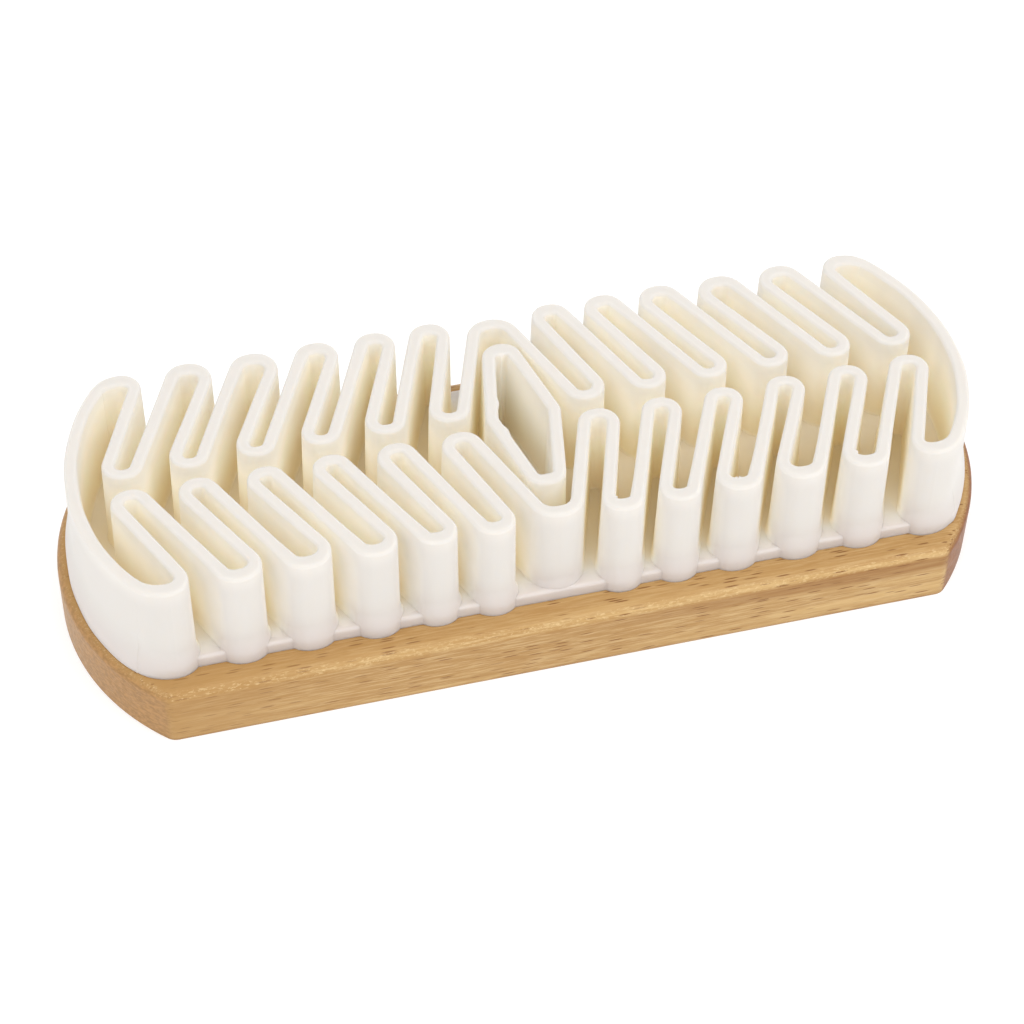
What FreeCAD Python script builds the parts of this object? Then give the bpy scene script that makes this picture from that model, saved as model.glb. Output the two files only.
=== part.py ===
import FreeCAD, Part
import Sketcher
import math
import os

# Suede brush that lies on its wooden back with its rubber wall up.
# Millimetres. X runs along the brush, Y across it, and Z up from the middle of the flat back.

SIZES = {
    # Beech block
    "block_length": 125.0,
    "block_width": 47.4,
    "block_thickness": 8.6,
    "block_end_radius": 32.4,
    "block_corner_round": 2.0,
    "block_top_round": 1.4,
    "block_back_round": 0.9,
    # Glue film between the block and the rubber
    "glue_thickness": 0.2,
    "glue_setback": 1.0,
    # Base sheet of the rubber pad, held back from the edges of the block
    "sheet_thickness": 1.6,
    "sheet_side_margin": 4.2,
    "sheet_end_margin": 1.4,
    "sheet_corner_round": 3.0,
    # Winding wall, which stands through the sheet and above it
    "wall_height": 13.2,
    "wall_thickness": 2.0,
    "wall_side_overhang": 0.35,
    "wall_end_ledge": 0.95,
    "wall_corner_round": 3.7,
    "wall_corner_flat": 5.4,
    # Bends and slots of a row
    "row_gap": 1.7,
    "end_gap": 2.2,
    "first_inner_bend": 9.75,
    "inner_flat_share": 0.45,
    "slot_mouth_share": 0.49,
    "bend_round_share": 0.92,
    "lone_bend_round": 1.95,
    # Bends and closed loop in the middle of the brush
    "centre_flat_share": 0.625,
    "centre_setback": 1.1,
    "eye_tip_gap": 3.3,
    "eye_tip_flat": 3.0,
    "eye_side_gap": 1.55,
    "eye_side_round": 1.5,
}

# Middles of the slot mouths of a row, from the middle of the brush to its end, in mouth pitches.
SLOT_MOUTH_SHARES = (0.50, 1.45, 2.37, 3.36, 4.44, 5.50)

UP = FreeCAD.Vector(0, 0, 1)

doc = FreeCAD.newDocument("suede_brush")
sheet = doc.addObject("Spreadsheet::Sheet", "sizes")
for row, (alias, number) in enumerate(SIZES.items(), start=1):
    sheet.set("A%d" % row, alias)
    sheet.set("B%d" % row, str(number))
    sheet.setAlias("B%d" % row, alias)
doc.recompute()


def size(alias):
    """Number that the sheet holds under a name."""
    return float(sheet.get(alias))


def new_body(label, height):
    """Body with its own name, lifted to a height given as an expression."""
    body = doc.addObject("PartDesign::Body", label)
    body.Label = label
    body.setExpression("Placement.Base.z", height)
    return body


def new_sketch(body, name):
    """Empty sketch on the body's own horizontal plane."""
    sketch = body.newObject("Sketcher::SketchObject", name)
    plane = next(item for item in body.Origin.OriginFeatures if item.Role == "XY_Plane")
    sketch.AttachmentSupport = [(plane, "")]
    sketch.MapMode = "FlatFace"
    return sketch


def bow_ended_pad(body, name, length, width, end_radius, thickness):
    """Plate with two straight sides and two bowed ends. Its sizes are expressions."""
    sketch = new_sketch(body, name + "_outline")
    radius = size("block_end_radius")
    half_width = size("block_width") / 2
    middle = size("block_length") / 2 - radius
    corner = middle + math.sqrt(radius**2 - half_width**2)
    sweep = math.asin(half_width / radius)
    corners = [FreeCAD.Vector(x * corner, y * half_width) for x, y in ((-1, -1), (1, -1), (1, 1), (-1, 1))]
    bows = [Part.Circle(FreeCAD.Vector(x * middle, 0), UP, radius) for x in (1, -1)]
    front = sketch.addGeometry(Part.LineSegment(corners[0], corners[1]))
    right = sketch.addGeometry(Part.ArcOfCircle(bows[0], -sweep, sweep))
    back = sketch.addGeometry(Part.LineSegment(corners[2], corners[3]))
    left = sketch.addGeometry(Part.ArcOfCircle(bows[1], math.pi - sweep, math.pi + sweep))
    start, end, centre, x_axis, y_axis = 1, 2, 3, -1, -2
    for first, second in ((front, right), (right, back), (back, left), (left, front)):
        sketch.addConstraint(Sketcher.Constraint("Coincident", first, end, second, start))
    sketch.addConstraint(Sketcher.Constraint("Symmetric", front, start, front, end, y_axis))
    sketch.addConstraint(Sketcher.Constraint("Symmetric", front, end, back, start, x_axis))
    sketch.addConstraint(Sketcher.Constraint("Symmetric", front, start, back, end, x_axis))
    sketch.addConstraint(Sketcher.Constraint("Equal", right, left))
    driven = (
        ("width", Sketcher.Constraint("DistanceY", front, end, back, start, 2 * half_width), width),
        ("end_radius", Sketcher.Constraint("Radius", right, radius), end_radius),
        (
            "bow_centres",
            Sketcher.Constraint("DistanceX", left, centre, right, centre, 2 * middle),
            "(%s) - 2 * (%s)" % (length, end_radius),
        ),
    )
    for label, constraint, expression in driven:
        sketch.renameConstraint(sketch.addConstraint(constraint), label)
        sketch.setExpression("Constraints." + label, expression)
    pad = body.newObject("PartDesign::Pad", name)
    pad.Profile = sketch
    pad.setExpression("Length", thickness)
    doc.recompute()
    return pad


def round_edges(body, base, name, radius, wanted):
    """Rounds the edges of the base feature that the test picks out."""
    edges = ["Edge%d" % (i + 1) for i, edge in enumerate(base.Shape.Edges) if wanted(edge)]
    fillet = body.newObject("PartDesign::Fillet", name)
    fillet.Base = (base, edges)
    fillet.setExpression("Radius", radius)
    doc.recompute()
    return fillet


def is_upright(edge):
    """True for an edge that runs straight up."""
    first, last = edge.Vertexes[0].Point, edge.Vertexes[-1].Point
    return math.hypot(first.x - last.x, first.y - last.y) < Part.Precision.confusion()


def lies_at(height):
    """Test for edges that lie flat at a height above their own body's base."""
    near = Part.Precision.confusion()
    return lambda edge: all(abs(vertex.Z - height) < near for vertex in edge.Vertexes)


# The block's top and back edges are softly rounded, and so are the corners between its sides and its bowed ends.
block = new_body("wooden_block", "0")
plank = bow_ended_pad(
    block, "plank", "sizes.block_length", "sizes.block_width", "sizes.block_end_radius", "sizes.block_thickness"
)
plank = round_edges(block, plank, "corners", "sizes.block_corner_round", is_upright)
plank = round_edges(block, plank, "top_edge", "sizes.block_top_round", lies_at(size("block_thickness")))
plank = round_edges(block, plank, "back_edge", "sizes.block_back_round", lies_at(0))

# The base sheet follows the block's outline. The glue film follows the sheet's outline a little inside it.
SHEET_LENGTH = "sizes.block_length - 2 * sizes.sheet_end_margin"
SHEET_WIDTH = "sizes.block_width - 2 * sizes.sheet_side_margin"
SHEET_END = "sizes.block_end_radius - sizes.sheet_end_margin"
SETBACK = " - %d * sizes.glue_setback"

glue = new_body("glue_film", "sizes.block_thickness")
film_length, film_width = SHEET_LENGTH + SETBACK % 2, SHEET_WIDTH + SETBACK % 2
film = bow_ended_pad(glue, "film", film_length, film_width, SHEET_END + SETBACK % 1, "sizes.glue_thickness")
round_edges(glue, film, "corners", "sizes.sheet_corner_round - sizes.glue_setback", is_upright)

rubber = new_body("rubber_pad", "sizes.block_thickness + sizes.glue_thickness")
base = bow_ended_pad(rubber, "base_sheet", SHEET_LENGTH, SHEET_WIDTH, SHEET_END, "sizes.sheet_thickness")
round_edges(rubber, base, "sheet_corners", "sizes.sheet_corner_round", is_upright)


# The wall's middle line is a chain of arcs in order of travel, anticlockwise round the pad, with straight runs
# between them. An arc is (centre x, centre y, radius, first angle, turn), and a left turn is positive.


def heading(start, end):
    """Direction of travel from one point to another."""
    return math.atan2(end[1] - start[1], end[0] - start[0])


def turn_at(before, here, after):
    """Angle by which a path turns at one of its points."""
    return math.remainder(heading(here, after) - heading(before, here), 2 * math.pi)


def rounded_corner(before, here, after, radius):
    """Arc that rounds the corner of a path at one of its points."""
    into = heading(before, here)
    turn = turn_at(before, here, after)
    side = math.copysign(1, turn)
    run = radius * math.tan(abs(turn) / 2)
    x = here[0] - run * math.cos(into) - side * radius * math.sin(into)
    y = here[1] - run * math.sin(into) + side * radius * math.cos(into)
    return (x, y, radius, into - side * math.pi / 2, turn)


def rounded_path(points, radii):
    """Arcs at the inner points of a path, one radius to a point."""
    corners = zip(points, points[1:], points[2:], radii)
    return [rounded_corner(*corner) for corner in corners]


def flat_round(before, first, second, after):
    """Radius at both ends of a flat, such that the two rounds take most of it."""
    turns = (turn_at(before, first, second), turn_at(first, second, after))
    run = sum(math.tan(abs(turn) / 2) for turn in turns)
    return size("bend_round_share") * math.dist(first, second) / run


def half_turned(arcs):
    """The same arcs on the opposite side of the brush."""
    return [(-x, -y, radius, first + math.pi, turn) for x, y, radius, first, turn in arcs]


def outline(arcs, shift):
    """Edges of a closed chain of arcs, moved outwards by a shift and joined by straight runs."""

    def place(arc, share):
        x, y, radius, first, turn = arc
        reach = radius + shift * math.copysign(1, turn)
        angle = first + share * turn
        return FreeCAD.Vector(x + reach * math.cos(angle), y + reach * math.sin(angle))

    edges = []
    for arc, following in zip(arcs, arcs[1:] + arcs[:1]):
        edges.append(Part.Arc(place(arc, 0), place(arc, 0.5), place(arc, 1)))
        run = (place(arc, 1), place(following, 0))
        if run[0].distanceToPoint(run[1]) > Part.Precision.confusion():
            edges.append(Part.LineSegment(*run))
    return edges


def standing_wall(body, name, arcs):
    """Wall of even thickness on a middle line, from under the sheet to the tips."""
    sketch = new_sketch(body, name + "_outline")
    for shift in (half_wall, -half_wall):
        sketch.addGeometry(outline(arcs, shift))
    wall = body.newObject("PartDesign::Pad", name)
    wall.Profile = sketch
    wall.setExpression("Length", "sizes.sheet_thickness + sizes.wall_height")
    doc.recompute()
    return wall


# Places across the brush, from its long middle line out to the middle of the wall.
wall_thickness = size("wall_thickness")
half_wall = wall_thickness / 2
sheet_side = size("block_width") / 2 - size("sheet_side_margin")
outer_y = sheet_side + size("wall_side_overhang") - half_wall
inner_y = size("row_gap") / 2 + half_wall
centre_y = outer_y - size("centre_setback")

# End wall, concentric with the block's bowed end, and its rounded corners into the rows.
end_x = size("block_length") / 2 - size("block_end_radius")
end_radius = size("block_end_radius") - size("sheet_end_margin") - size("wall_end_ledge") - half_wall
corner_round = size("wall_corner_round")
corner_y = outer_y - corner_round
corner_x = end_x + math.sqrt((end_radius - corner_round) ** 2 - corner_y**2)
corner_angle = math.atan2(corner_y, corner_x - end_x)
end_arcs = [
    (corner_x, -corner_y, corner_round, -math.pi / 2, math.pi / 2 - corner_angle),
    (end_x, 0, end_radius, -corner_angle, 2 * corner_angle),
    (corner_x, corner_y, corner_round, corner_angle, math.pi / 2 - corner_angle),
]

# Pitches along a row. The inner bends fill the room from the first one to the end wall, and the slot mouths fill the
# outer side from the middle to the end corner.
slots = len(SLOT_MOUTH_SHARES)
first_inner = size("first_inner_bend")
inner_end = end_x + end_radius - wall_thickness - size("end_gap")
inner_pitch = (inner_end - first_inner) / (slots - 1 + size("inner_flat_share") / 2)
half_flat = size("inner_flat_share") * inner_pitch / 2
mouth_end = end_x + math.sqrt(end_radius**2 - outer_y**2) - size("wall_corner_flat")
mouth_pitch = mouth_end / (SLOT_MOUTH_SHARES[-1] + size("slot_mouth_share") / 2)
half_mouth = size("slot_mouth_share") * mouth_pitch / 2

# Right half of the front row, from the middle bend to the last leg. Each inner bend closes a slot that opens outwards
# and leans towards the middle.
half_row = []
for slot, share in enumerate(SLOT_MOUTH_SHARES):
    inner_x = first_inner + slot * inner_pitch
    mouth_x = share * mouth_pitch
    half_row.append((mouth_x - half_mouth, -outer_y))
    half_row.append((inner_x - half_flat, -inner_y))
    half_row.append((inner_x + half_flat, -inner_y))
    half_row.append((mouth_x + half_mouth, -outer_y))
half_row[0] = (size("centre_flat_share") * mouth_pitch / 2, -centre_y)

# The first and last corners of the half row have no flat of their own between two legs.
half_rounds = [size("lone_bend_round")]
for corners in zip(half_row[0::2], half_row[1::2], half_row[2::2], half_row[3::2]):
    half_rounds += 2 * [flat_round(*corners)]
half_rounds.append(size("lone_bend_round"))

front_row = [(-x, y) for x, y in reversed(half_row)] + half_row
row_points = [(-corner_x, -outer_y)] + front_row + [(corner_x, -outer_y)]
half_loop = rounded_path(row_points, half_rounds[::-1] + half_rounds) + end_arcs
standing_wall(rubber, "winding_wall", half_loop + half_turned(half_loop))

# Closed loop in the middle, a long six-sided eye between the two middle bends.
eye_y = centre_y - wall_thickness - size("eye_tip_gap")
eye_x = first_inner - half_flat - wall_thickness - size("eye_side_gap")
eye_tip = size("eye_tip_flat") / 2
eye_points = [(-eye_x, 0), (-eye_tip, -eye_y), (eye_tip, -eye_y), (eye_x, 0), (eye_tip, eye_y)]
eye_tip_round = flat_round(*eye_points[:4])
half_eye = rounded_path(eye_points, [eye_tip_round, eye_tip_round, size("eye_side_round")])
standing_wall(rubber, "eye_wall", half_eye + half_turned(half_eye))

doc.recompute()
bodies = (block, glue, rubber)
failed = [item.Name for item in doc.Objects if {"Invalid", "Error"} & set(item.State)]
failed += [body.Label for body in bodies if body.Shape.isNull() or not body.Shape.isValid()]
failed += [body.Label for body in bodies if len(body.Shape.Solids) != 1]
if failed:
    raise RuntimeError("not built: " + ", ".join(failed))

os.makedirs("parts", exist_ok=True)
for body in bodies:
    body.Shape.exportStep("parts/%s.step" % body.Label)
    box = body.Shape.optimalBoundingBox()
    print(body.Label, "%.2f x %.2f x %.2f mm" % (box.XLength, box.YLength, box.ZLength))
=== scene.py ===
import math

import bmesh
import bpy
import numpy as np
from bpy.props import FloatProperty, FloatVectorProperty, PointerProperty
from mathutils import Matrix, Vector
from mathutils.bvhtree import BVHTree


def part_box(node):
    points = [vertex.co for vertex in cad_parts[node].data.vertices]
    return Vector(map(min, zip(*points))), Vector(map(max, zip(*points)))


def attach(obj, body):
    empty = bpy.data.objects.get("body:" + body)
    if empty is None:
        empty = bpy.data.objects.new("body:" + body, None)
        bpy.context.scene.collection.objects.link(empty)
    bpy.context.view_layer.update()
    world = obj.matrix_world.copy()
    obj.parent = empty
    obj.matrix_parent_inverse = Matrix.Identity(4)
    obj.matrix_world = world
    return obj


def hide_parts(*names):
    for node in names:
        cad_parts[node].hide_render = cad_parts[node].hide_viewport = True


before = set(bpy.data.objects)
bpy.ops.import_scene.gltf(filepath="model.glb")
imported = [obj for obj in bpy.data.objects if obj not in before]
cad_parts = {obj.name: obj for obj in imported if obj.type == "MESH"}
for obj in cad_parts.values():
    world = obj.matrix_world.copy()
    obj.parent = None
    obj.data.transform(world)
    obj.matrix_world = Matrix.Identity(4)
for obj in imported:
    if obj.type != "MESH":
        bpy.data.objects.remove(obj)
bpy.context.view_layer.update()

bl_info = {
    "name": "Suede brush",
    "version": (1, 0, 0),
    "blender": (4, 5, 0),
    "location": "3D View > Sidebar > Suede brush",
    "description": "Dresses a suede brush: white rubber pad with a winding wall, beech block and glue",
    "category": "Object",
}

BLOCK_LOW, BLOCK_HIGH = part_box("wooden_block")
PAD_LOW, PAD_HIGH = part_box("rubber_pad")
MM = 0.001

# Middles of the slot mouths of a row, from the middle of the brush to its end, in mouth pitches.
SLOT_MOUTH_SHARES = (0.50, 1.45, 2.37, 3.36, 4.44, 5.50)
# How far the outer edge of each slot strays from its even place, away from the middle, in millimetres.
SLOT_EDGE_DRIFTS = (-0.15, -0.5, -0.55, -0.55, -0.3, 0.7)
# Where the moulding is fullest, in millimetres, and how much of that the sheet follows.
FULL_CORNER = (-53.0, -14.0)
SHEET_STRAY = 0.3
# Places on the inner rims of the tips where a little moulding flash is torn, in millimetres.
TORN_RIMS = (
    (7.4, -17.1),
    (23.2, -17.9),
    (24.0, -17.6),
    (39.2, -16.6),
    (40.0, -16.9),
    (-2.4, 3.2),
    (-2.4, -2.2),
)
TORN_NEAR = 2 * MM

# Longest steps along the arcs and along the straight runs of an outline.
WALL_STEPS = (0.45 * MM, 1.3 * MM)
SHEET_STEPS = (0.8 * MM, 2.5 * MM)
BLOCK_STEPS = (0.8 * MM, 1.2 * MM)
FEWEST_ARC_STEPS = 4
WIDEST_ARC_STEP = math.radians(11)
# Room beside a straight run, where no bend closes.
FREE_ROOM = 1.0

# Where the wall becomes the rim of the pad, leaves the corners of an end, and becomes an outer bend: start
# and run of each change. The first two are shares of the sheet's half width or of the radius of its bowed
# ends, and the third of the wall's own half width.
RIM_RAMP = (0.87, 0.06)
END_RAMP = (0.96, -0.12)
BEND_RAMP = (0.91, 0.06)

# Lift of a face off the one below it, slope of the pressed rim, depth of the wall's foot in the sheet, and
# room that is left where a flared foot meets itself in a bend.
LIFT = 0.02 * MM
RIM_SLOPE = 0.05 * MM
FOOT_DEPTH = 0.6 * MM
BEND_CLEARANCE = 0.06 * MM
# Rows of points up a side of the wall: in the flare, in shares of the height from there to the tip, and at
# the tip.
FLARE_ROWS = 12
WALL_ROWS = (0.12, 0.3, 0.5, 0.7, 0.88)
TIP_STEPS = 6
# Round of the sheet's upper edge, pitches of the grid that cuts its faces, and gap under which points are
# welded.
SHEET_EDGE_ROUND = 0.45 * MM
SHEET_GRID = (2.6 * MM, 2.1 * MM)
WELD = 0.001 * MM

# Lengths of the waves in the soft wall and in the worn edge of the wood, and the seeds of their phases.
WAVE_LENGTHS = (7.0 * MM, 13.0 * MM, 29.0 * MM)
WALL_SEED, EYE_SEED, WEAR_SEED = 5, 9, 3

# Directions in which a vertex of the rubber looks for the rubber, how far it looks, and how often its marks
# are evened.
DEPTH_RAYS = 48
DEPTH_REACH = 25 * MM
SHUT_SWINGS = np.radians((30, 60, 90, 120, 150))
SHUT_RISES = np.radians((8, 22, 38))
SHUT_REACH = 50 * MM
RAY_START = 0.05 * MM
MARK_SMOOTHINGS = 5

# Depth of the bumps in the finishes, tones of the glue, half width of the floor, and the camera's film and
# reach.
BUMP_DEPTH = 0.05 * MM
DARK_GLUE = (0.42, 0.26, 0.09)
PALE_GLUE = (0.6, 0.42, 0.18)
FLOOR_HALF = 1.5
SENSOR_WIDTH = 36.0
CLIP_NEAR, CLIP_FAR = 0.01, 20.0
# Sockets of the colour mix, whose names repeat.
MIX_FACTOR, MIX_FIRST, MIX_SECOND, MIX_RESULT = 0, 6, 7, 2


def length(name, description, default):
    """Length that a user may change."""
    return FloatProperty(name=name, description=description, default=default, unit="LENGTH", precision=5)


def share(name, description, default):
    """Share or strength that a user may change."""
    return FloatProperty(name=name, description=description, default=default, min=0.0, subtype="FACTOR")


def colour(name, description, default):
    """Colour that a user may change."""
    return FloatVectorProperty(
        name=name, description=description, default=default, size=3, min=0.0, max=1.0, subtype="COLOR"
    )


def bearing(name, description, degrees):
    """Angle of the camera that a user may change."""
    return FloatProperty(name=name, description=description, default=math.radians(degrees), subtype="ANGLE")


def power(name, description, default):
    """Power of a light that a user may change."""
    return FloatProperty(name=name, description=description, default=default, unit="POWER")


class SuedeBrushRubber(bpy.types.PropertyGroup):
    """Sizes and colours of the rubber pad."""

    end_radius: length("End radius", "Radius of the block's bowed ends", 32.4 * MM)
    sheet_thickness: length("Sheet thickness", "Thickness of the base sheet", 1.6 * MM)
    sheet_side_margin: length("Side margin", "Wood left free along each side", 4.2 * MM)
    sheet_end_margin: length("End margin", "Wood left free at each end", 1.4 * MM)
    sheet_corner_round: length("Sheet corner", "Corner radius of the base sheet", 3.0 * MM)
    wall_thickness: length("Wall thickness", "Mean thickness of the wall, which sets its place", 2.0 * MM)
    wall_tip: length("Tip thickness", "Thickness of the wall at its tips", 1.72 * MM)
    wall_foot: length("Foot thickness", "Thickness of the wall at the sheet", 2.12 * MM)
    wall_side_overhang: length("Side overhang", "Reach of the outer bends past the sheet", 0.35 * MM)
    wall_end_ledge: length("End ledge", "Sheet left free outside the end wall", 0.95 * MM)
    wall_corner_round: length("End corner", "Radius of the corners by the end wall", 3.7 * MM)
    wall_corner_flat: length("End corner flat", "Straight run from the last leg to the end wall", 5.4 * MM)
    row_gap: length("Row gap", "Gap between the two rows along the middle", 1.7 * MM)
    end_gap: length("End gap", "Gap between the last inner bend and the end wall", 2.2 * MM)
    first_inner_bend: length("First inner bend", "Place of the first inner bend", 9.75 * MM)
    inner_flat: share("Inner flat", "Width of an inner bend, in inner pitches", 0.45)
    slot_mouth: share("Slot mouth", "Width of a slot's mouth, in mouth pitches", 0.49)
    bend_round: share("Bend round", "Share of a bend that its rounds take", 0.92)
    last_bend_round: length("Last bend round", "Radius of the last bends of a row", 1.8 * MM)
    centre_flat: share("Middle bend", "Width of the middle bend, in mouth pitches", 0.5)
    centre_setback: length("Middle setback", "Setback of the middle bend from its row", 1.1 * MM)
    eye_tip_gap: length("Eye tip gap", "Gap from the eye's tip to the middle bend", 3.3 * MM)
    eye_tip_flat: length("Eye tip flat", "Width of the eye's tip", 3.0 * MM)
    eye_side_gap: length("Eye side gap", "Gap from the eye's side to the first inner bend", 1.55 * MM)
    eye_side_round: length("Eye side round", "Radius of the eye's side corners", 1.5 * MM)
    back_gain: length("Back gain", "How much further out the back row stands", 0.5 * MM)
    eye_shift: length("Eye shift", "How far the eye stands behind the middle", 0.4 * MM)
    corner_gain: length("Corner gain", "How far the full corner stands proud", 0.5 * MM)
    corner_spread: length("Corner spread", "How far the full corner spreads along the wall", 7.0 * MM)
    bend_fill: length("Bend fill", "Thickness that the outer bends gain inside", 0.4 * MM)
    eye_fill: length("Eye fill", "Thickness that the eye's tips gain inside", 0.8 * MM)
    tip_round: length("Tip round", "Radius of the edges of the tips", 0.48 * MM)
    root_round: length("Root round", "Radius between the wall and the sheet", 0.45 * MM)
    lip_reach: length("Lip reach", "Reach of the flared foot round the outside of the wall", 0.5 * MM)
    lip_rise: length("Lip rise", "Height of the flare above the sheet", 2.4 * MM)
    end_lip_reach: length("End lip reach", "Reach of the flared foot of the end walls", 0.92 * MM)
    end_lip_rise: length("End lip rise", "Height of the flare of the end walls", 5.0 * MM)
    rim_width: length("Rim width", "Width of the sheet's edge that is pressed down to the wood", 0.6 * MM)
    torn_reach: length("Torn flash", "Reach of the torn flash on the tips", 0.28 * MM)
    waviness: length("Waviness", "How far the soft wall strays from its drawn line", 0.1 * MM)
    tone: colour("Rubber", "Colour of the rubber on open faces", (0.69, 0.66, 0.622))
    # Painted light: the mouth, inner and deep tones make the rubber lighter and warmer the more closed in it
    # is
    mouth_light_tone: colour("Mouth rubber", "Colour of the rubber in the slots' mouths", (0.79, 0.752, 0.686))
    inner_light_tone: colour("Inner rubber", "Colour of the rubber between the walls", (0.9, 0.868, 0.795))
    deep_light_tone: colour("Deep rubber", "Colour of the rubber deep between the walls", (0.965, 0.926, 0.848))
    # Painted light: golden tone at the roots of the walls
    root_light_tone: colour("Root rubber", "Colour of the rubber at the roots of the walls", (0.94, 0.845, 0.65))
    glow_tone: colour("Glow", "Light that seeps through the thin walls", (0.084, 0.07, 0.04))
    root_glow: colour("Root glow", "Light that seeps to the roots of the walls", (0.062, 0.048, 0.0235))
    sheet_tone: colour("Sheet tone", "Rubber of the open sheet and of the lowest feet", (0.62, 0.558, 0.532))
    # Painted shade: darker rubber on the slot beds between the walls
    bed_shade_tone: colour("Slot bed tone", "Darkest rubber on the sheet between the walls", (0.58, 0.49, 0.37))


class SuedeBrushBeech(bpy.types.PropertyGroup):
    """Colours, edges and varnish of the beech block."""

    pale: colour("Pale wood", "Lightest wood between the growth lines", (0.56, 0.36, 0.15))
    warm: colour("Warm wood", "Darker wood in the growth lines", (0.41, 0.23, 0.08))
    light: colour("Light fibres", "Thin light fibres along the grain", (0.67, 0.48, 0.245))
    streak: colour("Streak", "Brown growth streak under the upper edge", (0.33, 0.165, 0.055))
    fleck: colour("Flecks", "Short dark ray flecks along the grain", (0.23, 0.105, 0.035))
    # Painted highlight: light glints along the worn, varnished upper edge
    painted_glint: colour("Arris", "Worn and varnished upper edge", (0.72, 0.54, 0.29))
    end_grain: colour("End grain", "Wood at the pale sawn end", (0.45, 0.245, 0.092))
    # Painted shade: the dark tone of the right sawn end
    shade_darkened_end: colour("Heartwood end", "Wood at the dark sawn end", (0.27, 0.09, 0.016))
    corner_round: length("Corner round", "Radius of the block's upright corners", 2.0 * MM)
    top_round: length("Upper round", "Radius along the block's upper edge", 1.4 * MM)
    back_round: length("Back round", "Radius along the edge of the block's back", 0.25 * MM)
    arris_wear: length("Edge wear", "How unevenly the upper edge is sanded", 0.1 * MM)
    varnish_roughness: share("Varnish roughness", "Roughness of the satin varnish", 0.36)


class SuedeBrushStage(bpy.types.PropertyGroup):
    """Camera, floor and lights."""

    azimuth: bearing("Azimuth", "Camera's turn round the brush", -15.785)
    elevation: bearing("Elevation", "Camera's angle above the floor", 46.324)
    roll: bearing("Roll", "Camera's turn about its own axis", 1.312)
    distance: length("Distance", "Camera's distance from its target", 343.03 * MM)
    target: FloatVectorProperty(
        name="Target",
        description="Point at the tips that the camera looks at",
        default=(-6.069 * MM, -16.701 * MM, 23.6 * MM),
        size=3,
        subtype="XYZ",
        unit="LENGTH",
    )
    lens: FloatProperty(
        name="Lens", description="Focal length in millimetres", default=95.66, min=1.0, unit="CAMERA"
    )
    floor: colour("Floor", "Colour of the floor", (0.55, 0.55, 0.55))
    floor_glow: share("Floor glow", "Strength of the floor's own light", 0.55)
    sky: share("Sky", "Strength of the even light from all round", 0.74)
    left_power: power("Left light", "Power of the light at the left", 1.9)
    right_power: power("Right light", "Power of the light at the right", 2.3)
    front_power: power("Front light", "Power of the low front light", 0.55)
    overhead_power: power("Overhead light", "Power of the light overhead", 1.2)


# An outline is a chain of arcs in order of travel, anticlockwise round the brush, with straight runs between
# them. An arc is (centre x, centre y, radius, first angle, turn), and a left turn is positive.


def heading(start, end):
    """Direction of travel from one point to another."""
    return math.atan2(end[1] - start[1], end[0] - start[0])


def turn_at(before, here, after):
    """Angle by which a path turns at one of its points."""
    return math.remainder(heading(here, after) - heading(before, here), 2 * math.pi)


def rounded_corner(before, here, after, radius):
    """Arc that rounds the corner of a path at one of its points."""
    into = heading(before, here)
    turn = turn_at(before, here, after)
    side = math.copysign(1, turn)
    run = radius * math.tan(abs(turn) / 2)
    x = here[0] - run * math.cos(into) - side * radius * math.sin(into)
    y = here[1] - run * math.sin(into) + side * radius * math.cos(into)
    return (x, y, radius, into - side * math.pi / 2, turn)


def rounded_path(points, radii):
    """Arcs at the inner points of a path, one radius to a point."""
    return [rounded_corner(*corner) for corner in zip(points, points[1:], points[2:], radii)]


def flat_round(before, first, second, after, filled):
    """Radius at both ends of a flat, such that the two rounds take most of it."""
    turns = (turn_at(before, first, second), turn_at(first, second, after))
    return filled * math.dist(first, second) / sum(math.tan(abs(turn) / 2) for turn in turns)


def half_turned(arcs):
    """The same arcs on the opposite side of the brush."""
    return [(-x, -y, radius, first + math.pi, turn) for x, y, radius, first, turn in arcs]


def bowed_end(middle, radius, side, corner):
    """Arcs of a right end: a corner, the bow on the long axis and the other corner."""
    y = side - corner
    x = middle + math.sqrt((radius - corner) ** 2 - y**2)
    angle = math.atan2(y, x - middle)
    return [
        (x, -y, corner, -math.pi / 2, math.pi / 2 - angle),
        (middle, 0, radius, -angle, 2 * angle),
        (x, y, corner, angle, math.pi / 2 - angle),
    ]


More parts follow.
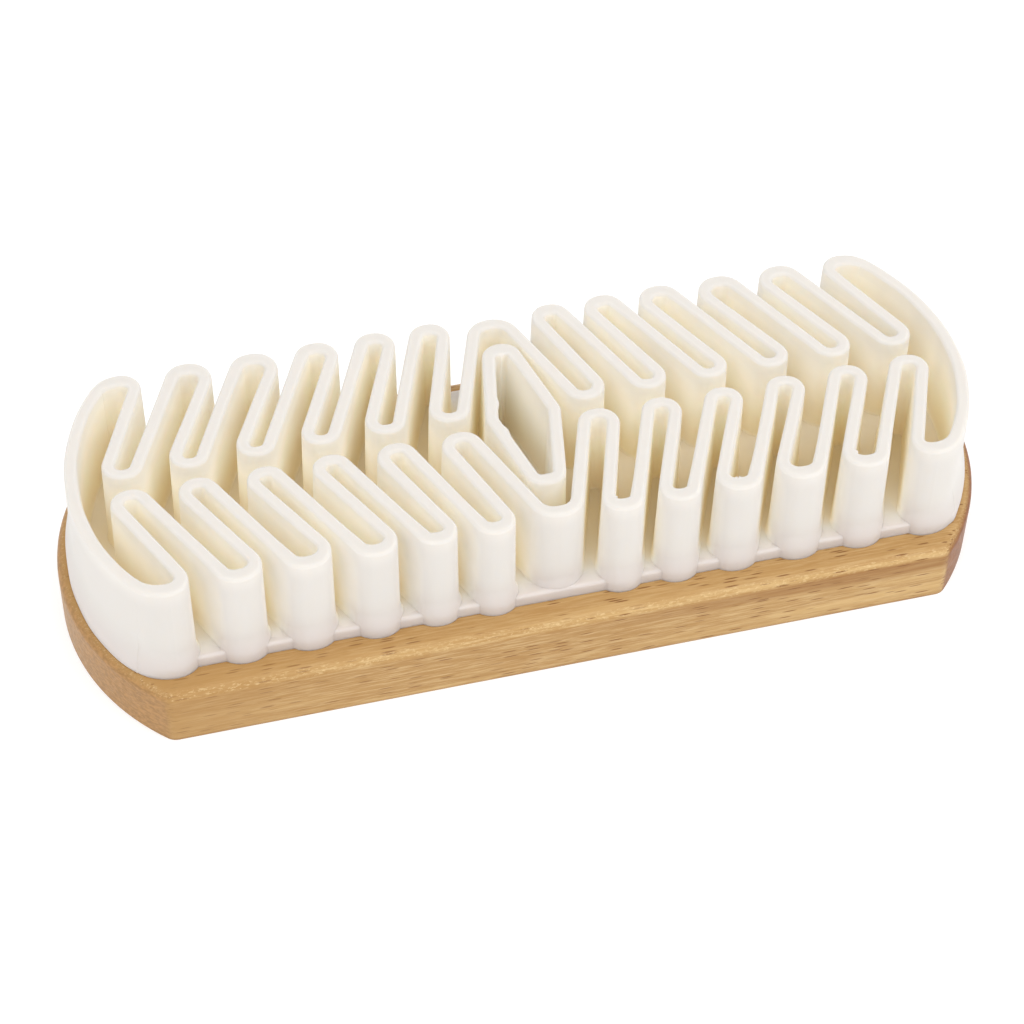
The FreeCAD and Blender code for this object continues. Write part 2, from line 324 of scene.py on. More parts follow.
def wall_lines(sizes):
    """Middle lines of the winding wall and of the eye, and the outline of the sheet, as chains of arcs."""
    half_length, half_width = BLOCK_HIGH.x, BLOCK_HIGH.y
    wall = sizes.wall_thickness
    sheet_side = half_width - sizes.sheet_side_margin
    outer_y = sheet_side + sizes.wall_side_overhang - wall / 2
    inner_y = sizes.row_gap / 2 + wall / 2
    centre_y = outer_y - sizes.centre_setback
    middle = half_length - sizes.end_radius
    sheet_radius = sizes.end_radius - sizes.sheet_end_margin
    radius = sheet_radius - sizes.wall_end_ledge - wall / 2
    end_arcs = bowed_end(middle, radius, outer_y, sizes.wall_corner_round)
    corner_x = end_arcs[0][0]

    # One half of a row, from its middle bend to its last slot
    slots = len(SLOT_MOUTH_SHARES)
    inner_end = middle + radius - wall - sizes.end_gap
    inner_pitch = (inner_end - sizes.first_inner_bend) / (slots - 1 + sizes.inner_flat / 2)
    half_flat = sizes.inner_flat * inner_pitch / 2
    mouth_end = middle + math.sqrt(radius**2 - outer_y**2) - sizes.wall_corner_flat
    mouth_pitch = mouth_end / (SLOT_MOUTH_SHARES[-1] + sizes.slot_mouth / 2)
    half_mouth = sizes.slot_mouth * mouth_pitch / 2
    row = []
    for slot, (mouth, drift) in enumerate(zip(SLOT_MOUTH_SHARES, SLOT_EDGE_DRIFTS)):
        inner_x = sizes.first_inner_bend + slot * inner_pitch
        mouth_x = mouth * mouth_pitch
        row.append((mouth_x - half_mouth, -outer_y))
        row.append((inner_x - half_flat, -inner_y))
        row.append((inner_x + half_flat, -inner_y))
        row.append((mouth_x + half_mouth + drift * MM, -outer_y))
    # The middle bend, and both halves of the row with an end
    row[0] = (sizes.centre_flat * mouth_pitch / 2, -centre_y)
    (near_x, near_y), (far_x, far_y) = row[:2]
    centre = ((-far_x, far_y), (-near_x, near_y), (near_x, near_y), (far_x, far_y))
    rounds = [flat_round(*centre, sizes.bend_round)]
    for corners in zip(row[0::2], row[1::2], row[2::2], row[3::2]):
        rounds += 2 * [flat_round(*corners, sizes.bend_round)]
    rounds.append(sizes.last_bend_round)
    front = [(-x, y) for x, y in reversed(row)] + row
    points = [(-corner_x, -outer_y)] + front + [(corner_x, -outer_y)]
    half_loop = rounded_path(points, rounds[::-1] + rounds) + end_arcs

    # The six-sided eye
    eye_y = centre_y - wall - sizes.eye_tip_gap
    eye_x = sizes.first_inner_bend - half_flat - wall - sizes.eye_side_gap
    tip = sizes.eye_tip_flat / 2
    eye_points = [(-eye_x, 0), (-tip, -eye_y), (tip, -eye_y), (eye_x, 0), (tip, eye_y)]
    tip_radius = flat_round(*eye_points[:4], sizes.bend_round)
    half_eye = rounded_path(eye_points, [tip_radius, tip_radius, sizes.eye_side_round])

    # The sheet, and the other half of each line
    half_sheet = bowed_end(middle, sheet_radius, sheet_side, sizes.sheet_corner_round)
    loop, eye, sheet = (half + half_turned(half) for half in (half_loop, half_eye, half_sheet))
    return loop, [(x, y + sizes.eye_shift, *bend) for x, y, *bend in eye], sheet


def arc_place(arc, part):
    """Place at a part of an arc, and the angle there."""
    x, y, radius, first, turn = arc
    angle = first + part * turn
    return np.array([x + radius * math.cos(angle), y + radius * math.sin(angle)]), angle


def walked(arcs, arc_step, run_step):
    """Places along a closed outline, their outward normals, and room on each side before a bend closes."""
    places, normals, room_out, room_in = [], [], [], []
    for arc, following in zip(arcs, arcs[1:] + arcs[:1]):
        _, _, radius, _, turn = arc
        side = math.copysign(1, turn)
        steps = math.ceil(max(FEWEST_ARC_STEPS, radius * abs(turn) / arc_step, abs(turn) / WIDEST_ARC_STEP))
        for step in range(steps + 1):
            place, angle = arc_place(arc, step / steps)
            places.append(place)
            normals.append(side * np.array([math.cos(angle), math.sin(angle)]))
            room_out.append(radius if turn < 0 else FREE_ROOM)
            room_in.append(radius if turn > 0 else FREE_ROOM)
        start, end = places[-1], arc_place(following, 0)[0]
        cuts = math.ceil(np.linalg.norm(end - start) / run_step)
        for cut in range(1, cuts):
            places.append(start + (end - start) * cut / cuts)
            normals.append(normals[-1])
            room_out.append(FREE_ROOM)
            room_in.append(FREE_ROOM)
    return np.array(places), np.array(normals), np.array(room_out), np.array(room_in)


def softened(values, width):
    """Weighted running mean along a closed line, over a width of points to each side."""
    kernel = np.hanning(2 * width + 3)[1:-1]
    kernel /= kernel.sum()
    padded = np.concatenate([values[-width:], values, values[:width]])
    return np.convolve(padded, kernel, mode="valid")


def ramp(values, start, run):
    """Share that grows from none at the start to all at the end of a run, which may lead downwards."""
    return np.clip((values - start) / run, 0, 1)


def wobble(places, amplitude, seed):
    """Slow drift along an outline, from a few waves with seeded phases."""
    draw = np.random.default_rng(seed)
    drift = np.zeros(len(places))
    for wave in WAVE_LENGTHS:
        angle, phase = draw.uniform(0, 2 * math.pi, 2)
        along = places @ np.array([math.cos(angle), math.sin(angle)])
        drift += np.sin(2 * math.pi * along / wave + phase) / len(WAVE_LENGTHS)
    return amplitude * drift


def strayed(places, normals, sizes, weight):
    """The same places on the real moulding, which is fuller at one corner and wider towards the back."""
    far = np.linalg.norm(places - np.array(FULL_CORNER) * MM, axis=1) / sizes.corner_spread
    places = places + normals * (sizes.corner_gain * np.exp(-(far**2) / 2) * weight)[:, None]
    wider = 1 + sizes.back_gain / (BLOCK_HIGH.y - sizes.sheet_side_margin)
    return places * np.column_stack([np.ones(len(places)), np.where(places[:, 1] > 0, wider, 1)])


def ring_mesh(name, rings):
    """Closed tube from rings of equally many points."""
    rows, columns = len(rings), len(rings[0])
    mesh = bpy.data.meshes.new(name)
    faces = []
    for i in range(rows):
        for j in range(columns):
            k, m = (i + 1) % rows, (j + 1) % columns
            faces.append((i * columns + j, k * columns + j, k * columns + m, i * columns + m))
    mesh.from_pydata(np.concatenate(rings).tolist(), [], faces)
    return mesh


def swept_rings(places, normals, rows):
    """Ring of points for each offset and height, which are one value or one to a place."""
    rings = []
    for offset, height in rows:
        spots = places + normals * np.broadcast_to(offset, len(places))[:, None]
        rings.append(np.column_stack([spots, np.broadcast_to(height, len(places))]))
    return rings


def side_profile(sizes, room, rim, end, torn):
    """Offsets and heights up one side of the wall, from its foot to its top.

    The rim and the end are shares that say how far the foot flares, as far as the room in a bend allows. Torn
    is how far the flash juts out at the tip.
    """
    low, top = PAD_LOW.z + LIFT, PAD_HIGH.z
    deck = PAD_LOW.z + sizes.sheet_thickness
    half_foot, half_tip = sizes.wall_foot / 2, sizes.wall_tip / 2
    root, tip = sizes.root_round, sizes.tip_round
    flare = root + (sizes.lip_reach - root) * rim
    flare = flare + (sizes.end_lip_reach - flare) * end
    flare = np.minimum(flare, softened(np.clip(room - BEND_CLEARANCE - half_foot, 0, flare), width=5))
    rise = root + (sizes.lip_rise - root) * rim
    rise = rise + (sizes.end_lip_rise - rise) * end
    pressed = low + (BLOCK_HIGH.z + LIFT - low) * rim
    edge = half_foot + flare
    rows = [(edge - sizes.rim_width, low), (edge - sizes.rim_width + RIM_SLOPE, pressed), (edge, pressed)]
    for part in np.linspace(0, 1, FLARE_ROWS):
        up = (rise + FOOT_DEPTH) * part - FOOT_DEPTH
        taper = (half_tip - half_foot) * np.clip(up, 0, None) / (top - deck)
        rows.append((half_foot + taper + flare * (1 - part * part * (3 - 2 * part)), deck + up))
    for part in WALL_ROWS:
        height = deck + rise + (top - tip - deck - rise) * part
        rows.append((half_foot + (half_tip - half_foot) * (height - deck) / (top - deck), height))
    for step in range(TIP_STEPS + 1):
        angle = step / TIP_STEPS * math.pi / 2
        jut = torn * math.sin(2 * angle)
        rows.append((half_tip - tip * (1 - math.cos(angle)) + jut, top - tip + tip * math.sin(angle)))
    return rows


def wall_mesh(name, arcs, sizes, fill, seed):
    """Wall swept along a middle line, with a draft, rounded tips and roots, a flared foot and full bends."""
    places, normals, room_out, room_in = walked(arcs, *WALL_STEPS)
    places = places + normals * softened(wobble(places, sizes.waviness, seed), width=6)[:, None]
    bow_middle = BLOCK_HIGH.x - sizes.end_radius
    across = np.abs(places[:, 1]) / (BLOCK_HIGH.y - sizes.sheet_side_margin)
    along = np.hypot(np.clip(np.abs(places[:, 0]) - bow_middle, 0, None), places[:, 1])
    along = along / (sizes.end_radius - sizes.sheet_end_margin)
    on_rim = softened(ramp(np.maximum(across, along), *RIM_RAMP), width=4)
    on_end = softened(ramp(along, *RIM_RAMP) * ramp(across, *END_RAMP), width=6)
    filled = fill * softened(ramp(across / across.max(), *BEND_RAMP), width=5) * (1 - on_end)
    places = strayed(places, normals, sizes, on_rim)
    none, torn = np.zeros(len(places)), np.zeros(len(places))
    for spot in TORN_RIMS:
        far = np.linalg.norm(places - np.array(spot) * MM, axis=1)
        if far.min() < TORN_NEAR:
            torn[far.argmin()] = sizes.torn_reach
    outside = side_profile(sizes, room_out, on_rim, on_end, none)
    inside = side_profile(sizes, room_in - filled, none, none, torn)
    rows = outside + [(-offset - filled, height) for offset, height in reversed(inside)]
    return ring_mesh(name, swept_rings(places, normals, rows))


def plate_mesh(name, places, normals, rows, grid=()):
    """Closed plate from a stack of outlines, each an offset and a height, cut by a grid of upright planes."""
    count = len(places)
    rings = swept_rings(places, normals, rows)
    last = (len(rows) - 1) * count
    faces = [tuple(range(count))[::-1], tuple(range(last, last + count))]
    for start in range(0, last, count):
        for i in range(count):
            k = (i + 1) % count
            faces.append((start + i, start + k, start + count + k, start + count + i))
    mesh = bpy.data.meshes.new(name)
    mesh.from_pydata(np.concatenate(rings).tolist(), [], faces)
    work = bmesh.new()
    work.from_mesh(mesh)
    for normal, span, step in grid:
        for cut in range(-int(span / step), int(span / step) + 1):
            geometry = work.verts[:] + work.edges[:] + work.faces[:]
            bmesh.ops.bisect_plane(work, geom=geometry, plane_co=normal * cut * step, plane_no=normal)
    work.to_mesh(mesh)
    work.free()
    return mesh


def quarter_round(radius, height, steps, down=False):
    """Offsets and heights of a plate's rounded edge, from side to upper face, or from lower face to side."""
    rows = []
    for step in range(steps + 1):
        angle = step / steps * math.pi / 2
        rise = radius * (1 - math.sin(angle))
        rows.append((-radius * (1 - math.cos(angle)), height + rise if down else height - rise))
    return rows[::-1] if down else rows


def sheet_mesh(name, arcs, sizes):
    """Base sheet with a rounded upper edge, its rim pressed down to the wood."""
    places, normals, _, _ = walked(arcs, *SHEET_STEPS)
    places = strayed(places, normals, sizes, SHEET_STRAY)
    low, pressed = PAD_LOW.z, BLOCK_HIGH.z + LIFT
    rows = [(-sizes.rim_width, low), (RIM_SLOPE - sizes.rim_width, pressed), (0.0, pressed)]
    rows += quarter_round(SHEET_EDGE_ROUND, low + sizes.sheet_thickness, steps=4)
    spans = (BLOCK_HIGH.x, BLOCK_HIGH.y)
    grid = zip((Vector((1, 0, 0)), Vector((0, 1, 0))), spans, SHEET_GRID)
    return plate_mesh(name, places, normals, rows, grid)


def block_mesh(name, look, end_radius):
    """Block with bowed ends, a crisp back edge and a worn round along its upper edge."""
    half = bowed_end(BLOCK_HIGH.x - end_radius, end_radius, BLOCK_HIGH.y, look.corner_round)
    places, normals, _, _ = walked(half + half_turned(half), *BLOCK_STEPS)
    wear = softened(wobble(places, look.arris_wear, WEAR_SEED), width=4) - look.arris_wear
    rows = quarter_round(look.back_round, BLOCK_LOW.z, steps=3, down=True)
    for offset, height in quarter_round(look.top_round, BLOCK_HIGH.z, steps=7):
        rows.append((offset + wear * min(1, -2 * offset / look.top_round), height))
    return plate_mesh(name, places, normals, rows)


def new_piece(name, data):
    """Object for a mesh, a light or a camera, in the scene."""
    piece = bpy.data.objects.new(name, data)
    bpy.context.scene.collection.objects.link(piece)
    return piece


def facing_out(mesh):
    """Turns all the faces of a closed mesh outwards."""
    work = bmesh.new()
    work.from_mesh(mesh)
    bmesh.ops.remove_doubles(work, verts=work.verts, dist=WELD)
    bmesh.ops.recalc_face_normals(work, faces=work.faces)
    work.to_mesh(mesh)
    work.free()
    return mesh


def united(name, meshes):
    """One closed mesh from several that overlap."""
    pieces = [new_piece(f"{name}_{i}", facing_out(mesh)) for i, mesh in enumerate(meshes)]
    body = pieces[0]
    for tool in pieces[1:]:
        union = body.modifiers.new(tool.name, "BOOLEAN")
        union.operation = "UNION"
        union.solver = "MANIFOLD"
        union.object = tool
    made = bpy.data.meshes.new_from_object(body.evaluated_get(bpy.context.evaluated_depsgraph_get()))
    made.name = name
    for piece in pieces:
        bpy.data.objects.remove(piece)
    return made


def sky_directions(count):
    """Directions over a half sphere about the z axis, more of them near the axis."""
    directions = []
    for i in range(count):
        spread = math.sqrt((i + 0.5) / count)
        turn = i * math.pi * (3 - math.sqrt(5))
        rise = math.sqrt(1 - spread**2)
        directions.append(Vector((spread * math.cos(turn), spread * math.sin(turn), rise)))
    return directions


def level_directions(side):
    """Low directions towards one long side of the brush."""
    directions = []
    for swing in SHUT_SWINGS:
        for rise in SHUT_RISES:
            ahead, aside = math.cos(rise) * math.cos(swing), math.cos(rise) * math.sin(swing)
            directions.append(Vector((ahead, side * aside, math.sin(rise))))
    return directions


def evened(mesh, values):
    """Values at the vertices of a mesh, each drawn towards the mean of its neighbours."""
    ends = np.array([edge.vertices for edge in mesh.edges])
    crowd = np.bincount(ends.ravel(), minlength=len(values))
    for _ in range(MARK_SMOOTHINGS):
        beside = np.bincount(ends[:, 0], values[ends[:, 1]], len(values))
        beside += np.bincount(ends[:, 1], values[ends[:, 0]], len(values))
        values = (values + beside / crowd) / 2
    return values


def mark_depth(mesh, eye, tip):
    """Stores at each vertex how closed in it is, as shares of directions that end on the piece itself.

    The depth counts directions all round the vertex's normal. The shut share counts low directions towards
    the long side that is more open, and is one more inside the eye, which has no mouth.
    """
    work = bmesh.new()
    work.from_mesh(mesh)
    tree = BVHTree.FromBMesh(work)
    directions = sky_directions(DEPTH_RAYS)
    sides = [level_directions(side) for side in (-1, 1)]
    eye_x, eye_y = np.abs(walked(eye, *WALL_STEPS)[0]).max(axis=0)

    def blocked(start, ways, reach):
        return sum(tree.ray_cast(start, way, reach)[0] is not None for way in ways) / len(ways)

    depth, shut = np.zeros(len(work.verts)), np.zeros(len(work.verts))
    for vertex in work.verts:
        turn = Vector((0, 0, 1)).rotation_difference(vertex.normal).to_matrix()
        start = vertex.co + vertex.normal * RAY_START
        depth[vertex.index] = blocked(start, [turn @ direction for direction in directions], DEPTH_REACH)
        shut[vertex.index] = min(blocked(start, side, SHUT_REACH) for side in sides)
        x, y = abs(vertex.co.x), abs(vertex.co.y)
        shut[vertex.index] += y < eye_y and x < eye_x - (eye_x - tip) * y / eye_y
    work.free()
    for name, values in (("depth", depth), ("shut", shut)):
        mesh.attributes.new(name, "FLOAT", "POINT").data.foreach_set("value", evened(mesh, values))


def smooth_shaded(piece, crease):
    """Smooth shading with sharp edges over an angle, and flat faces kept flat."""
    mesh = piece.data
    mesh.polygons.foreach_set("use_smooth", [True] * len(mesh.polygons))
    mesh.set_sharp_from_angle(angle=crease)
    weighted = piece.modifiers.new("flat_faces", "WEIGHTED_NORMAL")
    weighted.keep_sharp = True


# The finishes are made of nodes. In them, places are in millimetres, and depth, shut and facing are shares.


def joined(tree, node, inputs):
    """Sets inputs of a node, by name or number, to values, or links other sockets to them."""
    for key, value in inputs.items():
        if isinstance(value, bpy.types.NodeSocket):
            tree.links.new(value, node.inputs[key])
        else:
            node.inputs[key].default_value = value


def add_node(tree, kind, inputs=None, **settings):
    """Node with its settings and its inputs."""
    node = tree.nodes.new(kind)
    for key, value in settings.items():
        setattr(node, key, value)
    joined(tree, node, inputs or {})
    return node


def new_finish(name):
    """Empty material with a principled shader."""
    finish = bpy.data.materials.new(name)
    finish.use_nodes = True
    tree = finish.node_tree
    tree.nodes.clear()
    shader = add_node(tree, "ShaderNodeBsdfPrincipled")
    add_node(tree, "ShaderNodeOutputMaterial", {"Surface": shader.outputs["BSDF"]})
    return finish, tree, shader


def rgba(tone):
    """Colour with full alpha."""
    return (*tone, 1.0)


def shaded(tone, factor):
    """Colour made darker or lighter by a factor."""
    return [part * factor for part in tone]


def mixed(tree, factor, first, second):
    """Mix of two colours."""
    inputs = {MIX_FACTOR: factor, MIX_FIRST: first, MIX_SECOND: second}
    return add_node(tree, "ShaderNodeMix", inputs, data_type="RGBA").outputs[MIX_RESULT]


def layered(tree, under, layers):
    """Colour with further tones laid over it in turn, each through its own mask."""
    for mask, tone in layers:
        under = mixed(tree, mask, under, rgba(tone))
    return under


def ranged(tree, value, low, high, to_low=0.0, to_high=1.0):
    """Value brought from one range to another, smoothly."""
    inputs = {"Value": value, "From Min": low, "From Max": high, "To Min": to_low, "To Max": to_high}
    return add_node(tree, "ShaderNodeMapRange", inputs, interpolation_type="SMOOTHSTEP").outputs["Result"]


def masked(tree, *spans):
    """Product of several values, each with its ranges as ranged takes them."""
    mask = ranged(tree, *spans[0])
    for span in spans[1:]:
        factors = {0: mask, 1: ranged(tree, *span)}
        mask = add_node(tree, "ShaderNodeMath", factors, operation="MULTIPLY").outputs[0]
    return mask


def graded(tree, value, places, tones):
    """Colour that follows a value through several tones, each at its own place."""
    node = add_node(tree, "ShaderNodeValToRGB", {"Fac": value})
    ramp_stops = node.color_ramp.elements
    while len(ramp_stops) < len(places):
        ramp_stops.new(0.5)
    for stop, place, tone in zip(ramp_stops, places, tones):
        stop.position = place
        stop.color = rgba(tone)
    return node.outputs["Color"]


def marked(tree, name):
    """Value stored at the vertices."""
    return add_node(tree, "ShaderNodeAttribute", attribute_name=name).outputs["Fac"]


def place_scaled(tree, scale):
    """Object coordinates in millimetres, scaled."""
    place = add_node(tree, "ShaderNodeTexCoord").outputs["Object"]
    inputs = {"Vector": place, "Scale": [part / MM for part in scale]}
    return add_node(tree, "ShaderNodeMapping", inputs).outputs["Vector"]


def place_and_facing(tree):
    """Axes of the place in millimetres, and of the direction that the surface faces."""
    normal = add_node(tree, "ShaderNodeNewGeometry").outputs["Normal"]
    vectors = (place_scaled(tree, (1, 1, 1)), normal)
    return [add_node(tree, "ShaderNodeSeparateXYZ", {"Vector": vector}).outputs for vector in vectors]


def noise(tree, scale, detail=2.0, roughness=0.5, distortion=0.0):
    """Noise whose waves have a length of one over the scale, in millimetres."""
    inputs = {"Vector": place_scaled(tree, scale), "Scale": 1.0, "Detail": detail}
    inputs.update({"Roughness": roughness, "Distortion": distortion})
    return add_node(tree, "ShaderNodeTexNoise", inputs).outputs["Fac"]


def bumped(tree, height, strength):
    """Normal of a surface with shallow bumps."""
    inputs = {"Height": height, "Strength": strength, "Distance": BUMP_DEPTH}
    return add_node(tree, "ShaderNodeBump", inputs).outputs["Normal"]


def rubber_finish(sizes):
    """Creamy white rubber, soft and slightly translucent, with painted light and shade: lighter and warmer
    between the walls and golden at their roots, a painted glow for the light through the walls, painted shade
    on the slot beds and the crowns, and a painted highlight on the brows.
    """
    finish, tree, shader = new_finish("white_rubber")
    depth, shut = marked(tree, "depth"), marked(tree, "shut")
    place, facing = place_and_facing(tree)
    height, upward = place["Z"], facing["Z"]
    deck, top = (PAD_LOW.z + sizes.sheet_thickness) / MM, PAD_HIGH.z / MM
    tones = (sizes.tone, sizes.mouth_light_tone, sizes.inner_light_tone, sizes.deep_light_tone)
    # Painted light: the rubber is lighter and warmer the more closed in it is, for the light that seeps
    # through the thin walls
    body = graded(tree, depth, (0.2, 0.45, 0.7, 0.9), tones)
    # Painted light: golden tone at the roots of the walls, deep between them
    roots = masked(tree, (depth, 0.75, 1.0), (height, deck + 9.0, deck))
    sheet = masked(tree, (depth, 0.75, 0.4), (height, deck + 4.5, deck - 0.9, 0.0, 0.8))
    # Painted shade: darker rubber on the slot beds between the walls
    bed = masked(tree, (upward, 0.4, 0.9), (height, deck + 1.5, deck + 0.3, 0.0, 0.35), (depth, 0.6, 0.82))
    # Painted highlight: lighter rubber along the open brows of the tips
    brow_highlight = masked(tree, (depth, 0.5, 0.2), (height, top - 3.0, top - 0.4))
    # Painted shade: darker rubber on the upward crowns of the tips
    crown_shade = masked(tree, (upward, 0.1, 0.75), (height, top - 2.0, top - 0.6), (depth, 0.35, 0.1))
    cloud = ranged(tree, noise(tree, (0.09, 0.09, 0.09), detail=3.0), 0.35, 0.7, 0.0, 0.25)
    layers = (
        (roots, sizes.root_light_tone),
        (sheet, sizes.sheet_tone),
        (bed, sizes.bed_shade_tone),
        (brow_highlight, shaded(sizes.tone, 1.05)),
        (crown_shade, shaded(sizes.tone, 0.97)),
        (cloud, shaded(sizes.tone, 0.95)),
    )
    black = (0.0, 0.0, 0.0)
    # Painted glow: light that seeps through the thin walls, deep between them and golden at the roots, dimmed
    # where the walls are shut in
    glow = graded(tree, depth, (0.66, 0.86, 1.0), (black, shaded(sizes.glow_tone, 0.9), sizes.glow_tone))
    dim = ranged(tree, shut, 0.5, 1.9, 0.0, 0.68)
    values = {
        "Base Color": layered(tree, body, layers),
        "Emission Color": layered(tree, glow, ((roots, sizes.root_glow), (dim, black))),
        "Emission Strength": 1.3,
        "Roughness": 0.6,
        "Specular IOR Level": 0.2,
        "Subsurface Weight": 0.7,
        "Subsurface Radius": (1.0, 0.92, 0.8),
        "Subsurface Scale": 1.5 * MM,
        "Normal": bumped(tree, noise(tree, (2.2, 2.2, 2.2), detail=4.0), strength=0.12),
    }
    joined(tree, shader, values)
    return finish


def beech_finish(look):
    """Beech with growth lines and short ray flecks along the block, brown end grain and a satin varnish, with
    painted highlight glints on the upper edge and painted shade along the foot and on the right end.
    """
    finish, tree, shader = new_finish("beech")
    place, facing = place_and_facing(tree)
    bands = noise(tree, (0.013, 0.24, 0.34), detail=3.0, roughness=0.55, distortion=0.6)
    lines = noise(tree, (0.05, 1.2, 1.6), detail=4.0, roughness=0.65, distortion=0.3)
    fibres = noise(tree, (0.2, 3.2, 3.6), detail=4.0, roughness=0.7)
    wear = noise(tree, (1.6, 4.0, 4.0), detail=3.0, roughness=0.7)
    wood = mixed(tree, ranged(tree, bands, 0.36, 0.62), rgba(look.warm), rgba(look.pale))
    # Brown streak under the upper edge, stronger to the right
    under_edge = ((place["Z"], 4.6, 6.4), (place["Z"], 8.1, 7.2))
    streak = masked(tree, *under_edge, (place["X"], -10.0, 50.0, 0.05, 1.3), (lines, 0.3, 0.65, 1.0, 0.5))
    # Flecks in some of the cells of a grid that is drawn out along the block
    cells = {"Vector": place_scaled(tree, (0.26, 2.3, 3.0)), "Scale": 1.0, "Randomness": 1.0}
    cell = add_node(tree, "ShaderNodeTexVoronoi", cells, feature="F1").outputs
    chance = add_node(tree, "ShaderNodeSeparateColor", {"Color": cell["Color"]}).outputs["Red"]
    in_cell = ((cell["Distance"], 0.17, 0.33, 1.0, 0.0), (chance, 0.3, 0.65))
    flecks = masked(tree, *in_cell, (place["X"], -60.0, 10.0, 0.55, 1.0))
    # Painted highlight: light glints at worn places along the rounded upper edge
    on_edge = ((facing["Z"], 0.15, 0.5), (facing["Z"], 0.995, 0.8))
    painted_glint = masked(tree, *on_edge, (wear, 0.5, 0.68, 0.0, 0.55))
    layers = (
        (ranged(tree, lines, 0.36, 0.6, 0.75, 0.0), look.warm),
        (ranged(tree, fibres, 0.4, 0.7, 0.0, 0.6), look.light),
        (ranged(tree, place["X"], -20.0, -60.0, 0.0, 0.8), look.warm),
        (ranged(tree, facing["Z"], 0.6, 0.95, 0.0, 0.4), look.warm),
        (streak, look.streak),
        (flecks, look.fleck),
        (painted_glint, look.painted_glint),
        # Darker towards the bottom edge: painted shade along the block's foot
        (ranged(tree, place["Z"], 0.7, 0.1, 0.0, 0.5), look.fleck),
    )
    wood = layered(tree, wood, layers)
    # Sawn ends, pale at the left and dark at the right, where the darker tone is painted shade
    pores = ranged(tree, noise(tree, (0.6, 1.4, 2.6), detail=4.0, roughness=0.65), 0.35, 0.65)
    pale_end, shaded_right_end = (
        mixed(tree, pores, rgba(shaded(tone, 0.72)), rgba(tone)) for tone in (look.end_grain, look.shade_darkened_end)
    )
    end = mixed(tree, ranged(tree, place["X"], -10.0, 10.0), pale_end, shaded_right_end)
    sawn = add_node(tree, "ShaderNodeMath", {0: facing["X"]}, operation="ABSOLUTE").outputs[0]
    smooth, dull = look.varnish_roughness, look.varnish_roughness + 0.14
    values = {
        "Base Color": mixed(tree, ranged(tree, sawn, 0.35, 0.8), wood, end),
        "Roughness": ranged(tree, lines, 0.3, 0.7, smooth, dull),
        "Specular IOR Level": 0.18,
        "Coat Weight": 0.05,
        "Coat Roughness": 0.22,
        "Normal": bumped(tree, fibres, strength=0.3),
    }
    joined(tree, shader, values)
    return finish


def glue_finish():
    """Dried amber adhesive."""
    finish, tree, shader = new_finish("contact_glue")
    cloud = ranged(tree, noise(tree, (0.4, 0.4, 0.4), detail=3.0), 0.3, 0.7)
    tone = mixed(tree, cloud, rgba(DARK_GLUE), rgba(PALE_GLUE))
    joined(tree, shader, {"Base Color": tone, "Roughness": 0.3})
    return finish


def floor_finish(tone, glow):
    """Pale matt floor."""
    finish, tree, shader = new_finish("pale_floor")
    cloud = ranged(tree, noise(tree, (0.004, 0.004, 0.004)), 0.3, 0.7)
    values = {
        "Base Color": mixed(tree, cloud, rgba(shaded(tone, 0.985)), rgba(tone)),
        "Roughness": 0.9,
        "Specular IOR Level": 0.1,
        "Emission Color": (1.0, 1.0, 1.0, 1.0),
        "Emission Strength": glow,
    }
    joined(tree, shader, values)
    return finish


def painted(piece, finish):
    """Gives a piece one finish."""
    piece.data.materials.clear()
    piece.data.materials.append(finish)


class SUEDE_BRUSH_OT_rubber_pad(bpy.types.Operator):
    """Builds the rubber pad: base sheet, winding wall and eye in one moulding"""

    bl_idname = "suede_brush.rubber_pad"
    bl_label = "Rubber pad"

    def execute(self, context):
        sizes = context.scene.suede_brush_rubber
        loop, eye, sheet = wall_lines(sizes)
        parts = [
            sheet_mesh("sheet", sheet, sizes),
            wall_mesh("winding_wall", loop, sizes, sizes.bend_fill, WALL_SEED),
            wall_mesh("eye_wall", eye, sizes, sizes.eye_fill, EYE_SEED),
        ]
        piece = new_piece("rubber_moulding", united("rubber_moulding", parts))
        if len(piece.data.polygons) < len(loop):
            raise RuntimeError("the rubber's parts didn't unite")
        mark_depth(piece.data, eye, sizes.eye_tip_flat / 2)
        smooth_shaded(piece, crease=math.radians(38))
        painted(piece, rubber_finish(sizes))
        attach(piece, "root")
        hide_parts("rubber_pad")
        return {"FINISHED"}


class SUEDE_BRUSH_OT_beech_block(bpy.types.Operator):
    """Builds the beech block with its sanded edges"""

    bl_idname = "suede_brush.beech_block"
    bl_label = "Beech block"

    def execute(self, context):
        look = context.scene.suede_brush_beech
        mesh = block_mesh("beech_block", look, context.scene.suede_brush_rubber.end_radius)
        piece = new_piece("beech_block", facing_out(mesh))
        smooth_shaded(piece, crease=math.radians(50))
        painted(piece, beech_finish(look))
        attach(piece, "root")
        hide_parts("wooden_block")
        return {"FINISHED"}


class SUEDE_BRUSH_OT_glue_film(bpy.types.Operator):
    """Gives the glue film its amber finish"""

    bl_idname = "suede_brush.glue_film"
    bl_label = "Glue film"

    def execute(self, context):
        painted(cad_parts["glue_film"], glue_finish())
        return {"FINISHED"}


